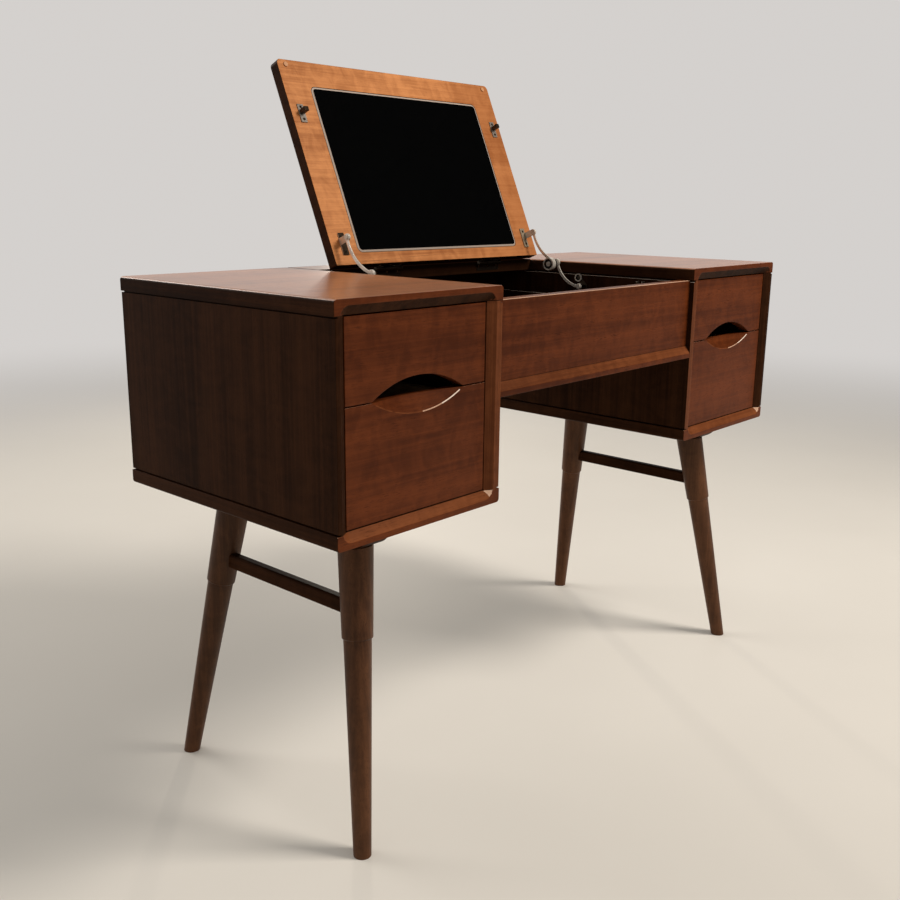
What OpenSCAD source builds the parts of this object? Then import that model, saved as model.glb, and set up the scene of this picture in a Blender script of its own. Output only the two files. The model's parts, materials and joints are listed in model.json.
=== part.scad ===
// Flip top vanity table: two drawer pedestals, a mirror lid over a shallow well, turned legs.
// Origin: on the floor, in the middle of the footprint with the lid open. Front faces -Y.

/* [Case] */
// Overall width across both pedestals
table_w = 1110; // [1050:5:1200]
// Depth of the case, front to back
case_d = 450; // [440:5:480]
// Height of the table top above the floor
table_h = 750; // [730:5:780]
// Height of the pedestals
box_h = 300; // [290:5:320]
// Width of one pedestal
pedestal_w = 300; // [280:5:320]
// Thickness of the case boards
board_t = 20; // [18:1:24]
// Thickness of the pedestals' inner sides
inner_t = 25; // [20:1:30]
// Flat lip left round the front of each frame
lip_w = 8; // [6:1:10]
// Depth that the drawer fronts sit back from the frame
reveal = 8; // [6:1:12]
// Radius of the long outer corners of the top and bottom boards
corner_r = 5; // [2:0.5:7]
// Radius of the bevel's inner corners at the drawer fronts
bevel_r = 4; // [2:1:8]
// Distance that the side panels stand in from the board ends
side_inset = 1.5; // [1:0.5:3]
// Height of the shadow groove between a board and a side panel
groove_h = 2; // [1.5:0.5:3]
// Height of the groove under the top boards on the well's sides
bay_groove_h = 3; // [2:0.5:5]
// Depth of those grooves
groove_d = 4; // [3:0.5:6]
// Thickness of the pedestal back panels
back_t = 9; // [6:1:12]
// Distance that the pedestal back panels stand in from the back
back_inset = 3; // [1:0.5:5]

/* [Drawers] */
// Height of the seam between the drawers above the pedestal opening
seam_h = 152; // [140:2:160]
// Gap round each drawer front
front_gap = 1.6; // [1:0.2:2.5]
// Thickness of the drawer fronts
front_t = 18; // [16:1:20]
// Thickness of the drawer sides and backs
drawer_t = 12; // [12:1:15]
// Thickness of the drawer bottoms
drawer_bottom_t = 6; // [4:1:9]
// Space behind the drawer boxes
drawer_back_gap = 24; // [10:2:50]
// Space between a drawer side and the case
drawer_side_gap = 4; // [3:0.5:6]
// Space above the drawer sides
drawer_top_gap = 8; // [6:1:12]
// Height of the finger space under the upper drawer's box
finger_h = 30; // [27:1:34]
// Height of the lower drawer's box above the bottom of its front
lower_drawer_rise = 10; // [6:1:14]
// Height left free over the lower drawer's sides
lower_drawer_drop = 18; // [14:1:24]
// Width of the finger pull at the seam
pull_w = 163; // [140:1:180]
// Height of the arch cut in the upper drawer front
arch_h = 24; // [18:1:26]
// Height of the scoop carved in the lower drawer front
scoop_h = 22; // [16:1:26]
// Distance of the scoop's centre in front of the drawer front
scoop_reach = 280; // [240:10:400]
// Height of the hardwood runners
runner_h = 14; // [10:1:18]
// Depth that a runner enters the drawer side
runner_bite = 6; // [4:0.5:7]
// Running clearance between a runner and its groove
runner_clear = 0.3; // [0.2:0.05:0.5]
// Distance from a drawer front's face back to the start of its runner
runner_start = 28; // [24:1:40]

/* [Well] */
// Depth of the well's underside below the table top
well_drop = 152; // [145:1:165]
// Thickness of the well's front panel
well_front_t = 18; // [14:1:20]
// Thickness of the well's back panel
well_back_t = 16; // [12:1:20]
// Height of the side ledges' top above the well's floor
ledge_z = 71; // [60:1:75]
// Height and width of the side ledges
ledge_t = 12; // [8:1:16]

/* [Lid] */
// Thickness of the lid
lid_t = 18; // [16:1:20]
// Distance of the closed lid's front edge behind the case's front
lid_front_in = 4; // [2:1:7]
// Gap at each side of the lid
lid_gap = 2; // [1.5:0.5:3]
// Clearance under the closed lid's bumpers, and round let-in fittings
lid_rest = 0.3; // [0.2:0.1:0.6]
// Radius of the lid's free corners
lid_r = 9; // [4:1:14]
// Depth of the fixed strip behind the lid
strip_d = 99.4; // [90:0.2:110]
// Depth of the hinge axis below the table top
hinge_drop = 1.4; // [1:0.1:2]
// Angle between the closed and the open lid
lid_open = 113.4; // [100:0.2:116]
// Radius of the hinge knuckles
knuckle_r = 3.5; // [3:0.1:4]
// Diameter of the hinge pins
hinge_pin_d = 3.2; // [2.4:0.1:3.6]
// Length of one hinge
hinge_len = 60; // [45:1:80]
// Distance of each hinge's middle from the side of the lid
hinge_in = 125; // [60:1:150]
// Thickness of the hinge leaves
leaf_t = 1.3; // [1:0.1:1.5]
// Height of the hinge leaves
leaf_h = 14; // [10:1:15]

/* [Mirror] */
// Width of the wood at each side of the mirror glass
mirror_side = 54; // [48:1:70]
// Width of the wood between the glass and the lid's hinged edge
mirror_low = 20; // [16:1:32]
// Width of the wood between the glass and the lid's front edge
mirror_high = 43; // [36:1:60]
// Thickness of the glass
mirror_t = 4; // [3:0.5:5]
// Depth of the recess that holds the glass
mirror_recess = 3.4; // [2:0.2:4]
// Gap round the glass in its recess
mirror_gap = 0.8; // [0.4:0.1:1.2]
// Radius of the glass corners
mirror_r = 9; // [6:1:14]
// Width of the ground edge of the glass
mirror_bevel = 3; // [1.5:0.5:5]
// Height of the ground edge of the glass
mirror_bevel_h = 1; // [0.5:0.1:2]

/* [Stays] */
// Distance of each stay's plane from the well's wall
stay_in = 21.5; // [18:0.5:34]
// Distance of the upper pivot from the lid's hinged edge
stay_lid_s = 37.5; // [34:0.5:42]
// Distance of the upper pivot off the lid's underside
stay_lid_h = 20; // [12:0.5:24]
// Distance of the foot pivot in front of the hinge axis
stay_foot_y = 123; // [116:0.5:136]
// Depth of the foot pivot below the table top
stay_foot_z = 43; // [38:0.5:50]
// Length of the upper arm between its pivots
upper_arm_l = 76.5; // [72:0.5:82]
// Spare length of the two arms over a straight line when open
stay_slack = 0.05; // [0.05:0.05:2]
// Thickness of the arms
arm_t = 2; // [1.5:0.5:3]
// Width of the arms
arm_w = 5; // [4:0.5:8]
// Sag of the arms below the line between their pivots
arm_sag = 11; // [4:0.5:14]
// Radius of the arms' eyes
eye_r = 5.5; // [5:0.5:7]
// Radius of the damper's ribs
damper_r = 11.5; // [9:0.5:12]
// Radius of the damper's core between its ribs
damper_core_r = 10.5; // [9:0.5:11]
// Length of the damper
damper_l = 12; // [8:1:16]
// Distance of the damper from the elbow, along the upper arm
damper_s = 4.5; // [0:0.5:10]
// Distance of the damper below the upper arm
damper_drop = 9.5; // [0:0.5:10]
// Width of the damper's ribs
rib_w = 2.4; // [1:0.2:4]
// Number of the damper's ribs
rib_n = 3; // [2:1:4]
// Depth of the hollow in the damper's end
damper_slot = 2; // [1:0.5:3]
// Wall of the damper's end
cup_wall = 2.5; // [2:0.5:3]
// Diameter of the rivet in the damper's hollow
cup_pin_d = 9; // [6:0.5:13]
// Diameter of the plain stud on the left elbow
stud_d = 8; // [6:0.5:10]
// Length of that stud
stud_l = 2.5; // [1.5:0.5:4]
// Diameter of the stay pivot pins
pivot_d = 4; // [3.5:0.5:5]
// Thickness of the pivot pins' heads
head_t = 1.2; // [0.8:0.1:2]
// Diameter of the pivot pins' heads
head_d = 7.5; // [7:0.5:9]
// Distance of the lid brackets' plates from the lid's hinged edge
lid_plate_s = 16; // [12:1:20]
// Length of the lid brackets' plates
lid_plate_l = 36; // [30:1:42]
// Width of the lid brackets' plates
lid_plate_w = 12; // [10:0.5:16]
// Height of the case brackets' rings above the foot pivots
ring_up = 14.5; // [12:0.5:16]
// Distance of those rings behind the foot pivots
ring_back = 13.5; // [0:0.5:16]
// Diameter of the rings
ring_d = 14.5; // [12:0.5:16]
// Length of the rings
ring_l = 3.5; // [2.5:0.5:6]
// Diameter of the hollow in a ring, where its screw sits
ring_hole_d = 10.5; // [7:0.5:11]
// Depth of that hollow
ring_hole_l = 2.5; // [1:0.5:4]
// Width of the wall plates between the rings and the foot pivots
tab_w = 9; // [5:0.5:12]
// Diameter of the spacers that carry the foot pivots
spacer_d = 6; // [5:0.5:8]
// Radius of the arms' ends at the elbow
elbow_r = 6; // [5.5:0.5:10]
// Side clearance between the parts of a stay
stay_clear = 0.3; // [0.2:0.05:0.5]
// Thickness of the stay brackets
bracket_t = 1.6; // [1.2:0.1:2.5]

/* [Lid fittings] */
// Distance of the catches from the lid's front edge
catch_far = 90; // [60:1:110]
// Distance of the catches from the well's wall
catch_in = 23.5; // [18:0.5:30]
// Width of the catch plates
catch_w = 12; // [10:1:16]
// Length of the catch plates
catch_l = 30; // [26:1:36]
// Thickness of the catch plates and strikes
catch_t = 1.6; // [1:0.1:2]
// Width of the catch hooks
hook_w = 9; // [6:0.5:12]
// Thickness of the catch hooks
hook_t = 2; // [1.5:0.1:2.5]
// Height of the catch hooks
hook_h = 12; // [10:0.5:14]
// Length of a hook's toe
hook_toe = 6; // [4:0.5:8]
// Play of a closed hook in its strike
strike_play = 1; // [0.5:0.1:2]
// Height of a strike's cheeks
strike_cheek_h = 7; // [5:0.5:9]
// Height of a strike's wall plate
strike_plate_h = 18; // [14:1:22]
// Distance of the bumpers from the lid's front edge
bumper_far = 9; // [8:1:16]
// Distance of the bumpers from the side of the lid
bumper_in = 16; // [12:1:25]
// Diameter of the bumpers
bumper_d = 8; // [6:1:10]
// Height of the bumpers
bumper_h = 1.7; // [1:0.1:2.5]

/* [Legs] */
// Distance of a foot's centre inside the end of the table
foot_in_x = 58; // [50:1:80]
// Distance of a foot's centre inside the front and back of the case
foot_in_y = 26; // [20:1:40]
// Distance of a leg's top inside the end of the table
leg_top_in_x = 112; // [100:1:130]
// Distance of a leg's top inside the front and back of the case
leg_top_in_y = 91.5; // [80:1:110]
// Diameter of a leg at its top
leg_top_d = 49; // [42:0.5:54]
// Diameter of a leg just above its shoulder
shoulder_d = 42.5; // [36:0.5:46]
// Diameter of a leg just below its shoulder
shank_d = 38.5; // [32:0.5:41]
// Diameter of a foot
foot_d = 24.6; // [20:0.2:28]
// Depth of the shoulder below the leg's top
shoulder_drop = 126; // [115:1:145]
// Height of the leg rails under the pedestals
rail_h = 36; // [26:1:45]
// Width of the leg rails
rail_w = 44; // [40:1:54]
// Radius of the rails' lower ends
rail_end_r = 34; // [15:1:45]
// Distance of the rail ends inside the front and back of the case
rail_in_y = 44; // [25:1:50]
// Depth of the stretcher's middle below the leg's top
stretcher_drop = 87; // [70:1:110]
// Height of the stretchers
stretcher_h = 22; // [18:1:26]
// Thickness of the stretchers
stretcher_t = 16; // [12:1:20]
// Radius of the stretchers' long edges
stretcher_r = 4; // [2:0.5:5]
// Diameter of the leg bolts
bolt_d = 8; // [6:1:10]
// Depth that the bolts enter the legs
bolt_bite = 40; // [30:1:60]

/* [Hidden] */
$fn = 96;
eps = 0.01;

// Screw holes in the fittings, and their distance from a plate's ends
screw_d = 4;
screw_in = 6;
// Clearance across a pin's diameter
pin_clear = 0.1;
// Clearance between the hinge knuckles and the wood
knuckle_clear = 0.3;
// Play of the leg bolts in their holes
bolt_clear = 0.2;

// Sides and levels, so calls read in words
LEFT = -1;
RIGHT = 1;
FRONT = -1;
REAR = 1;
UPPER = 1;
LOWER = -1;

// Wood and metal colours
walnut = [0.20, 0.09, 0.05];
red_walnut = [0.30, 0.12, 0.06];
honey = [0.62, 0.32, 0.14];
birch = [0.72, 0.56, 0.38];
nickel = [0.72, 0.70, 0.66];
black = [0.05, 0.05, 0.05];
silver = [0.80, 0.82, 0.84];

// Hinge axis to the lid's hinged edge, and to the case's front
lid_edge_gap = knuckle_r + knuckle_clear;
hinge_back = case_d - strip_d - lid_edge_gap;
lid_len = hinge_back - lid_edge_gap - lid_front_in;

// Footprint: the open lid leans out behind the case
lid_edge_r = 2;
lid_reach = hinge_back
    - (lid_edge_gap + lid_len - lid_edge_r) * cos(lid_open)
    + (hinge_drop - lid_edge_r) * sin(lid_open) + lid_edge_r;
front_y = -lid_reach / 2;
back_y = front_y + case_d;
mid_y = front_y + case_d / 2;

// Pedestals
out_x = table_w / 2;
in_x = out_x - pedestal_w;
box_z = table_h - box_h;
open_x0 = in_x + inner_t;
open_x1 = out_x - board_t;
open_z0 = box_z + board_t;
open_z1 = table_h - board_t;
bay_x = in_x + side_inset;
bevel_w = board_t - lip_w;
back_face_y = back_y - back_inset - back_t;

// Drawers
front_plane = front_y + reveal;
seam_z = open_z0 + seam_h;
drawer_y = front_plane + front_t;
drawer_x0 = open_x0 + drawer_side_gap;
drawer_x1 = open_x1 - drawer_side_gap;
open_mid_x = (open_x0 + open_x1) / 2;
runner_y = front_plane + runner_start;
drawer_end_y = back_face_y - drawer_back_gap;

// Well
well_z = table_h - well_drop;
well_floor = well_z + board_t;
well_back_y = back_y - well_back_t;

// Lid
hinge_y = front_y + hinge_back;
hinge_z = table_h - hinge_drop;
lid_edge_y = hinge_y - lid_edge_gap;
lid_under = table_h - lid_t;
lid_hw = in_x - lid_gap;
hinge_x = lid_hw - hinge_in;
catch_x = bay_x - catch_in;
catch_y = lid_edge_y - lid_len + catch_far;
bumper_x = lid_hw - bumper_in;
mirror_w = 2 * (lid_hw - mirror_side);
mirror_h = lid_len - mirror_low - mirror_high;
strip_y = hinge_y + lid_edge_gap;

// Stay pivots, open, in the plane of each stay: [y, z]
stay_x = bay_x - stay_in;
function turned(p, a) = [p[0] * cos(a) - p[1] * sin(a), p[0] * sin(a) + p[1] * cos(a)];
function lid_point(s, h) =
    [hinge_y, hinge_z] + turned([-lid_edge_gap - s, lid_under - h - hinge_z], -lid_open);
lid_pivot = lid_point(stay_lid_s, stay_lid_h);
foot_pivot = [hinge_y - stay_foot_y, table_h - stay_foot_z];
stay_span = norm(lid_pivot - foot_pivot);
lower_arm_l = stay_span + stay_slack - upper_arm_l;
// The elbow hangs below the line between the outer pivots
elbow_a = (pow(upper_arm_l, 2) - pow(lower_arm_l, 2) + pow(stay_span, 2)) / (2 * stay_span);
elbow_h = sqrt(pow(upper_arm_l, 2) - pow(elbow_a, 2));
stay_dir = (foot_pivot - lid_pivot) / stay_span;
elbow_pivot = lid_pivot + elbow_a * stay_dir + elbow_h * [-stay_dir[1], stay_dir[0]];

// Legs
rail_z = box_z - rail_h;
shoulder_z = rail_z - shoulder_drop;
stretcher_z = rail_z - stretcher_drop;
leg_top_x = out_x - leg_top_in_x;
leg_top_y = case_d / 2 - leg_top_in_y;
foot_x = out_x - foot_in_x;
foot_y = case_d / 2 - foot_in_y;
leg_run = [foot_x - leg_top_x, foot_y - leg_top_y];
leg_l = sqrt(pow(norm(leg_run), 2) + pow(rail_z, 2));
leg_tilt = acos(rail_z / leg_l);
leg_heading = atan2(leg_run[1], leg_run[0]);

// ---------- shared shapes ----------

// Draws for the right side, mirrored for the left
module on_side(side) {
    if (side == RIGHT) children();
    else mirror([1, 0, 0]) children();
}

// Draws for the rear, mirrored about the middle of the case for the front
module on_end(end) {
    if (end == REAR) translate([0, mid_y, 0]) children();
    else translate([0, mid_y, 0]) mirror([0, 1, 0]) children();
}

// Box between two opposite corners
module span(a, b) {
    translate(a) cube(b - a);
}

// Extrudes an outline drawn in X and Z along Y, from y0 to y1
module along_y(y0, y1) {
    translate([0, y1, 0]) rotate([90, 0, 0]) linear_extrude(y1 - y0) children();
}

// Extrudes an outline drawn in Y and Z along X, from x0 to x1
module along_x(x0, x1) {
    translate([x0, 0, 0]) rotate([90, 0, 90]) linear_extrude(x1 - x0) children();
}

// Rectangle from a to b, its corners rounded by r in the order lower left, lower right,
// upper right, upper left
module round_rect(a, b, r) {
    difference() {
        translate(a) square(b - a);
        corner_bite([a[0], a[1]], [1, 1], r[0]);
        corner_bite([b[0], a[1]], [-1, 1], r[1]);
        corner_bite([b[0], b[1]], [-1, -1], r[2]);
        corner_bite([a[0], b[1]], [1, -1], r[3]);
    }
}

// What a rounded corner takes away at point p, whose inside lies along dir
module corner_bite(p, dir, r) {
    if (r > 0) difference() {
        translate([p[0] + (dir[0] * r - r) / 2, p[1] + (dir[1] * r - r) / 2])
            square([r, r]);
        translate([p[0] + dir[0] * r, p[1] + dir[1] * r]) circle(r);
    }
}

// Bevelled mouth of a frame: grows by bevel_w from the drawer plane to the front
module mouth(x0, x1, z0, z1) {
    grow = bevel_w * (1 + eps / reveal);
    y0 = front_y - eps;
    y1 = front_plane;
    translate([0, 0, z0 + bevel_r]) linear_extrude(z1 - z0 - 2 * bevel_r)
        polygon([[x0, y1], [x0 - grow, y0], [x1 + grow, y0], [x1, y1]]);
    along_x(x0 + bevel_r, x1 - bevel_r)
        polygon([[y1, z0], [y0, z0 - grow], [y0, z1 + grow], [y1, z1]]);
    for (x = [x0 + bevel_r, x1 - bevel_r], z = [z0 + bevel_r, z1 - bevel_r])
        translate([x, y0, z]) rotate([-90, 0, 0])
            cylinder(h = y1 - y0, r1 = bevel_r + grow, r2 = bevel_r);
}

module pedestal_mouth() {
    mouth(open_x0, open_x1, open_z0, open_z1);
}

// Round pin or bore along X from x0 to x1, at p = [y, z]
module pin_x(x0, x1, p, d) {
    translate([x0, p[0], p[1]]) rotate([0, 90, 0]) cylinder(h = x1 - x0, d = d);
}

// Puts a piece drawn on the closed lid where the open lid holds it
module on_lid() {
    translate([0, hinge_y, hinge_z]) rotate([-lid_open, 0, 0])
        translate([0, -hinge_y, -hinge_z]) children();
}

// ---------- pedestals ----------

module top_board(side) {
    color(walnut) on_side(side) difference() {
        along_y(front_y, back_y)
            round_rect([in_x, open_z1], [out_x, table_h], [0, 0, corner_r, corner_r]);
        pedestal_mouth();
    }
}

module bottom_board(side) {
    color(walnut) on_side(side) difference() {
        along_y(front_y, back_y)
            round_rect([in_x, box_z], [out_x, open_z0], [corner_r, corner_r, 0, 0]);
        pedestal_mouth();
        for (end = [FRONT, REAR]) on_end(end) bolt_bores();
    }
}

// Side panel, with a shadow groove along its top and bottom edges, the top one of height top_h
module side_panel(side, x0, x1, groove_x, top_h) {
    color(walnut) on_side(side) difference() {
        span([x0, front_y, open_z0], [x1, back_y, open_z1]);
        for (z = [[open_z0, open_z0 + groove_h], [open_z1 - top_h, open_z1]])
            span([groove_x, front_y - eps, z[0]], [groove_x + groove_d, back_y + eps, z[1]]);
        pedestal_mouth();
    }
}

module outer_side(side) {
    side_panel(side, open_x1, out_x - side_inset, out_x - side_inset - groove_d, groove_h);
}

module inner_side(side) {
    side_panel(side, bay_x, open_x0, bay_x, bay_groove_h);
}

module pedestal_back(side) {
    color(walnut) on_side(side)
        span([open_x0, back_face_y, open_z0], [open_x1, back_face_y + back_t, open_z1]);
}

// ---------- drawers ----------

// Lowest and highest point of a drawer's front, and of its box
function front_z(level) = level == UPPER
    ? [seam_z + front_gap / 2, open_z1 - front_gap]
    : [open_z0 + front_gap, seam_z - front_gap / 2];
function box_zs(level) = level == UPPER
    ? [front_z(level)[0] + finger_h, open_z1 - drawer_top_gap]
    : [front_z(level)[0] + lower_drawer_rise, front_z(level)[1] - lower_drawer_drop];
function runner_mid(level) = (box_zs(level)[0] + box_zs(level)[1]) / 2;

module drawer_front(side, level) {
    z = front_z(level);
    color(red_walnut) on_side(side) difference() {
        span([open_x0 + front_gap, front_plane, z[0]], [open_x1 - front_gap, drawer_y, z[1]]);
        if (level == UPPER) arch(z[0]);
        else scoop(z[1]);
    }
}

// Arch through the upper front, of width pull_w at the front's lower edge
module arch(z) {
    r = (pow(pull_w / 2, 2) + pow(arch_h, 2)) / (2 * arch_h);
    translate([open_mid_x, front_plane - eps, z + arch_h - r]) rotate([-90, 0, 0])
        cylinder(h = front_t + 2 * eps, r = r, $fn = 256);
}

// Round scoop in the lower front's face, of width pull_w at the front's upper edge
module scoop(z) {
    r = (pow(pull_w / 2, 2) + pow(scoop_h, 2)) / (2 * scoop_h);
    translate([open_mid_x, front_plane - scoop_reach, z + r - scoop_h])
        sphere(r = norm([r, scoop_reach]), $fn = 256);
}

module drawer_sides(side, level) {
    z = box_zs(level);
    groove = [runner_mid(level) - runner_h / 2 - runner_clear,
              runner_mid(level) + runner_h / 2 + runner_clear];
    bite = runner_bite + runner_clear;
    color(birch) on_side(side) {
        difference() {
            span([drawer_x0, drawer_y, z[0]], [drawer_x0 + drawer_t, drawer_end_y, z[1]]);
            span([drawer_x0 - eps, runner_y - runner_clear, groove[0]],
                 [drawer_x0 + bite, drawer_end_y + eps, groove[1]]);
        }
        difference() {
            span([drawer_x1 - drawer_t, drawer_y, z[0]], [drawer_x1, drawer_end_y, z[1]]);
            span([drawer_x1 - bite, runner_y - runner_clear, groove[0]],
                 [drawer_x1 + eps, drawer_end_y + eps, groove[1]]);
        }
    }
}

module drawer_back(side, level) {
    z = box_zs(level);
    color(birch) on_side(side)
        span([drawer_x0 + drawer_t, drawer_end_y - drawer_t, z[0]],
             [drawer_x1 - drawer_t, drawer_end_y, z[1]]);
}

module drawer_bottom(side, level) {
    z = box_zs(level);
    color(birch) on_side(side)
        span([drawer_x0 + drawer_t, drawer_y, z[0]],
             [drawer_x1 - drawer_t, drawer_end_y - drawer_t, z[0] + drawer_bottom_t]);
}

// Four runners of one pedestal
module drawer_runners(side) {
    reach = drawer_side_gap + runner_bite;
    color(honey) on_side(side)
        for (level = [LOWER, UPPER]) {
            z0 = runner_mid(level) - runner_h / 2;
            for (x = [open_x0, open_x1 - reach])
                span([x, runner_y, z0], [x + reach, back_face_y, z0 + runner_h]);
        }
}

// ---------- well ----------

module well_front_panel() {
    top = lid_under - bumper_h - lid_rest;
    color(red_walnut) {
        span([-bay_x, front_plane, well_floor],
             [bay_x, front_plane + well_front_t, min(top, open_z1)]);
        if (top > open_z1)
            span([-in_x + lid_rest, front_plane, open_z1 - eps],
                 [in_x - lid_rest, front_plane + well_front_t, top]);
    }
}

module well_bottom_board() {
    grow = bevel_w * (1 + eps / reveal);
    color(walnut) difference() {
        span([-bay_x, front_y, well_z], [bay_x, back_y, well_floor]);
        along_x(-bay_x - eps, bay_x + eps)
            polygon([[front_plane, well_floor], [front_plane, well_floor + eps],
                     [front_y - eps, well_floor + eps], [front_y - eps, well_floor - grow]]);
    }
}

module well_back_panel() {
    color(walnut) span([-bay_x, well_back_y, well_floor], [bay_x, back_y, open_z1]);
}

module well_side_ledges() {
    color(walnut) for (side = [LEFT, RIGHT]) on_side(side)
        span([bay_x - ledge_t, front_plane + well_front_t, well_floor + ledge_z - ledge_t],
             [bay_x, well_back_y, well_floor + ledge_z]);
}

// Fixed strip behind the lid, let out for the hinges' knuckles and leaves
module rear_top_strip() {
    color(walnut) difference() {
        span([-in_x, strip_y, open_z1], [in_x, back_y, table_h]);
        for (side = [LEFT, RIGHT]) on_side(side)
            span([hinge_x - hinge_len / 2 - lid_rest, strip_y - eps, hinge_z - leaf_h - lid_rest],
                 [hinge_x + hinge_len / 2 + lid_rest, strip_y + leaf_t, table_h + eps]);
    }
}

// ---------- legs ----------

// Leg rail: a bar with quarter-round ends, glued under the bottom board
module leg_rail(side) {
    y = case_d / 2 - rail_in_y;
    r = min(rail_end_r, rail_h);
    color(walnut) on_side(side) difference() {
        along_x(leg_top_x - rail_w / 2, leg_top_x + rail_w / 2) translate([mid_y, 0]) {
            translate([-y, rail_z]) difference() {
                square([2 * y, rail_h]);
                corner_bite([0, 0], [1, 1], r);
                corner_bite([2 * y, 0], [-1, 1], r);
            }
        }
        for (end = [FRONT, REAR]) on_end(end) bolt_bores();
    }
}

// Turned leg about its own axis, its foot at z = 0
module turned_leg() {
    z = shoulder_z * leg_l / rail_z;
    over = leg_top_d;
    top_r = leg_top_d / 2;
    slope = (top_r - shoulder_d / 2) / (leg_l - z);
    fillet = (shoulder_d - shank_d) / 2;
    rotate_extrude()
        polygon([[0, -over], [foot_d / 2, -over], [foot_d / 2, 0], [shank_d / 2, z],
                 [shoulder_d / 2, z + fillet], [top_r, leg_l],
                 [top_r + slope * over, leg_l + over], [0, leg_l + over]]);
}

// A leg in the rear right corner, cut level at the rail and at the floor
module splayed_leg() {
    intersection() {
        translate([foot_x, foot_y, 0]) rotate([0, 0, leg_heading]) rotate([0, -leg_tilt, 0])
            turned_leg();
        span([leg_top_x - leg_top_d, leg_top_y - leg_top_d, 0],
             [foot_x + leg_top_d, foot_y + leg_top_d, rail_z]);
    }
}

// Bores for one leg's bolt, relative to the middle of the case
module bolt_bores() {
    translate([leg_top_x, leg_top_y, rail_z - bolt_bite])
        cylinder(h = bolt_bite + rail_h + board_t + eps, d = bolt_d + bolt_clear);
    translate([leg_top_x, leg_top_y, open_z0 - bolt_d / 2])
        cylinder(h = bolt_d, d = 2 * bolt_d + bolt_clear);
}

module leg(side, end) {
    color(walnut) on_side(side) on_end(end) difference() {
        splayed_leg();
        bolt_bores();
    }
}

module leg_bolts() {
    color(nickel) for (side = [LEFT, RIGHT], end = [FRONT, REAR]) on_side(side) on_end(end)
        translate([leg_top_x, leg_top_y, 0]) {
            translate([0, 0, rail_z - bolt_bite])
                cylinder(h = bolt_bite + rail_h + board_t - bolt_d / 2, d = bolt_d);
            translate([0, 0, open_z0 - bolt_d / 2]) cylinder(h = bolt_d / 2, d = 2 * bolt_d);
        }
}

// Rail between the two legs of one side, coped to their round
module stretcher(side) {
    x = foot_x - leg_run[0] * stretcher_z / rail_z;
    half = foot_y - leg_run[1] * stretcher_z / rail_z;
    color(walnut) on_side(side) difference() {
        along_y(mid_y - half, mid_y + half)
            round_rect([x - stretcher_t / 2, stretcher_z - stretcher_h / 2],
                       [x + stretcher_t / 2, stretcher_z + stretcher_h / 2],
                       [stretcher_r, stretcher_r, stretcher_r, stretcher_r]);
        for (end = [FRONT, REAR]) on_end(end) splayed_leg();
    }
}

// ---------- lid ----------

// Outline of the closed lid seen from above
module lid_outline() {
    round_rect([-lid_hw, lid_edge_y - lid_len], [lid_hw, lid_edge_y],
               [lid_r, lid_r, lid_edge_r, lid_edge_r]);
}

module lid_board() {
    color(honey) on_lid() difference() {
        intersection() {
            translate([0, 0, lid_under]) linear_extrude(lid_t) lid_outline();
            along_x(-lid_hw, lid_hw)
                round_rect([lid_edge_y - lid_len, lid_under], [lid_edge_y, table_h],
                           [lid_edge_r, 0, 0, lid_edge_r]);
        }
        translate([0, 0, lid_under - eps]) linear_extrude(mirror_recess + eps)
            glass_outline(mirror_gap);
        for (side = [LEFT, RIGHT]) on_side(side)
            span([hinge_x - hinge_len / 2 - lid_rest, lid_edge_y - leaf_t,
                  hinge_z - leaf_h - lid_rest],
                 [hinge_x + hinge_len / 2 + lid_rest, lid_edge_y + eps, table_h + eps]);
    }
}

// Outline of the glass on the closed lid, larger by grow all round
module glass_outline(grow) {
    y1 = lid_edge_y - mirror_low;
    r = mirror_r + grow;
    round_rect([-mirror_w / 2 - grow, y1 - mirror_h - grow], [mirror_w / 2 + grow, y1 + grow],
               [r, r, r, r]);
}

// Mirror glass: two crossed slabs and four round corners, all with the ground edge
module mirror_glass() {
    z0 = lid_under + mirror_recess - mirror_t;
    half_w = mirror_w / 2;
    half_h = mirror_h / 2;
    color(silver) on_lid() translate([0, lid_edge_y - mirror_low - half_h, z0]) {
        along_y(mirror_r - half_h, half_h - mirror_r) ground_slab(half_w);
        along_x(mirror_r - half_w, half_w - mirror_r) ground_slab(half_h);
        for (x = [mirror_r - half_w, half_w - mirror_r], y = [mirror_r - half_h, half_h - mirror_r])
            translate([x, y, 0]) rotate_extrude() intersection() {
                ground_slab(mirror_r);
                square([mirror_r, mirror_t]);
            }
    }
}

// Cross section of the glass, its face down, half its width given
module ground_slab(half) {
    polygon([[-half + mirror_bevel, 0], [half - mirror_bevel, 0], [half, mirror_bevel_h],
             [half, mirror_t], [-half, mirror_t], [-half, mirror_bevel_h]]);
}

// Catches: a plate with a hook that stands off the lid and ends in a toe
module lid_catches() {
    y = catch_y;
    z = lid_under - catch_t;
    color(nickel) on_lid() for (side = [LEFT, RIGHT]) on_side(side) {
        difference() {
            span([catch_x - catch_w / 2, y - catch_l / 2, z],
                 [catch_x + catch_w / 2, y + catch_l / 2, lid_under]);
            for (end = [-1, 1])
                translate([catch_x, y + end * (catch_l / 2 - screw_in), z - eps])
                    cylinder(h = catch_t + 2 * eps, d = screw_d);
        }
        span([catch_x - hook_w / 2, y - hook_t / 2, z - hook_h],
             [catch_x + hook_w / 2, y + hook_t / 2, z]);
        span([catch_x - hook_w / 2, y - hook_toe, z - hook_h],
             [catch_x + hook_w / 2, y, z - hook_h + hook_t]);
    }
}

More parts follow.
